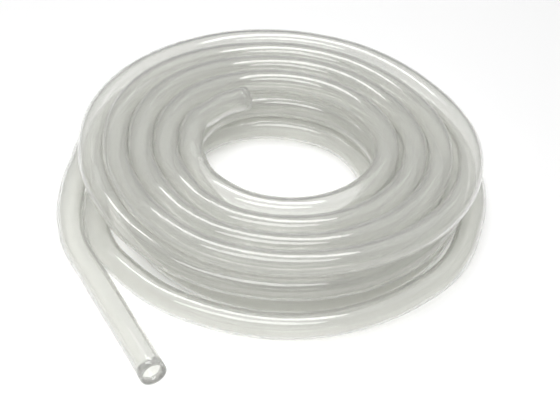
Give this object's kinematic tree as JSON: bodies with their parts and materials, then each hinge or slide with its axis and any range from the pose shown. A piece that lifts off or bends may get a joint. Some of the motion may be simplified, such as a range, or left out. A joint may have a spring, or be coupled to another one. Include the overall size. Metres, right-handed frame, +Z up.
{
  "type": "coil of clear pvc tubing",
  "caption": "Coil of clear flexible PVC tube lying flat round an open eye, with one square-cut hollow end left free and straight beside it.",
  "frame": {"origin": "middle of the footprint, on the floor that the coil lies on", "axes": "+Z up through the coil's eye, -Y along the free end and out of its square cut, +X away from the free end"},
  "size_m": [0.2882, 0.2718, 0.043],
  "materials": {
    "clear_pvc": "clear and glossy, very slightly milky"
  },
  "bodies": {
    "root": {"tubing": "clear_pvc"}
  },
  "joints": []
}
